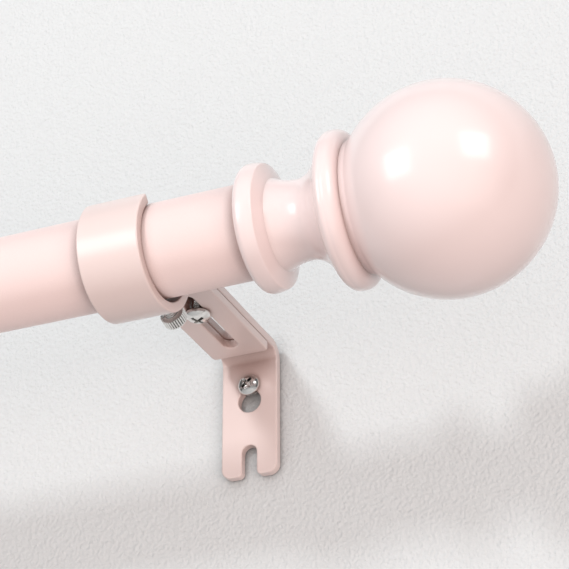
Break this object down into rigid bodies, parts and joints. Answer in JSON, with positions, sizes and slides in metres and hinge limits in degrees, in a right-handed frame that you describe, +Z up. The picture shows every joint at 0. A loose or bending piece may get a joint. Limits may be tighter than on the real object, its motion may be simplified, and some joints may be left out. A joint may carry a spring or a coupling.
{
  "type": "extendable curtain rod",
  "caption": "Telescoping curtain rod with ball finials, held in hooked, slotted wall brackets that adjust how far the rod stands off the wall.",
  "frame": {"origin": "back face of the right wall bracket, between its keyhole and its notch", "axes": "+X along the rod towards the right finial, +Y into the wall, +Z up"},
  "size_m": [0.8646, 0.1355, 0.0611],
  "materials": {
    "tube_paint": "semi-gloss powder coat",
    "bracket_paint": "semi-gloss powder coat",
    "finial_gloss": "glossy",
    "bright_screw": "nickel plated",
    "zinc_steel": "zinc plated",
    "nylon": "moulded"
  },
  "bodies": {
    "right_wall_mount": {"right_wall_bracket": "bracket_paint", "right_wall_screw": "bright_screw", "right_clamp_screw": "bright_screw", "right_clamp_nut": "zinc_steel"},
    "outer_rod": {"right_rod_holder": "bracket_paint", "outer_tube": "tube_paint", "tube_end_bush": "nylon", "right_end_plug": "nylon"},
    "inner_rod": {"inner_tube": "tube_paint", "left_rod_holder": "bracket_paint", "left_end_plug": "nylon"},
    "left_wall_mount": {"left_wall_bracket": "bracket_paint", "left_wall_screw": "bright_screw", "left_clamp_screw": "bright_screw", "left_clamp_nut": "zinc_steel"},
    "right_thumb": {"right_thumbscrew": "bright_screw"},
    "left_thumb": {"left_thumbscrew": "bright_screw"},
    "right_end": {"right_finial": "finial_gloss", "right_finial_stud": "zinc_steel"},
    "left_end": {"left_finial": "finial_gloss", "left_finial_stud": "zinc_steel"}
  },
  "joints": [
    {"name": "right_projection", "type": "slide", "parent": "right_wall_mount", "child": "outer_rod", "axis": [0, -1, 0], "range_m": [-0.0015, 0.022]},
    {"name": "rod_extend", "type": "slide", "parent": "outer_rod", "child": "inner_rod", "axis": [-1, 0, 0], "range_m": [0, 0.508]},
    {"name": "left_projection", "type": "slide", "parent": "inner_rod", "child": "left_wall_mount", "axis": [0, 1, 0], "range_m": [-0.0015, 0.022]},
    {"name": "right_thumb_travel", "type": "slide", "parent": "outer_rod", "child": "right_thumb", "axis": [0, 0.9703, -0.2419], "range_m": [0, 0.003]},
    {"name": "left_thumb_travel", "type": "slide", "parent": "inner_rod", "child": "left_thumb", "axis": [0, 0.9703, -0.2419], "range_m": [0, 0.003]},
    {"name": "right_finial_off", "type": "slide", "parent": "outer_rod", "child": "right_end", "axis": [1, 0, 0], "range_m": [0, 0.03]},
    {"name": "left_finial_off", "type": "slide", "parent": "inner_rod", "child": "left_end", "axis": [-1, 0, 0], "range_m": [0, 0.03]}
  ],
  "couplings": [
    {"joint": "left_projection", "follows": "right_projection", "ratio": 1}
  ]
}
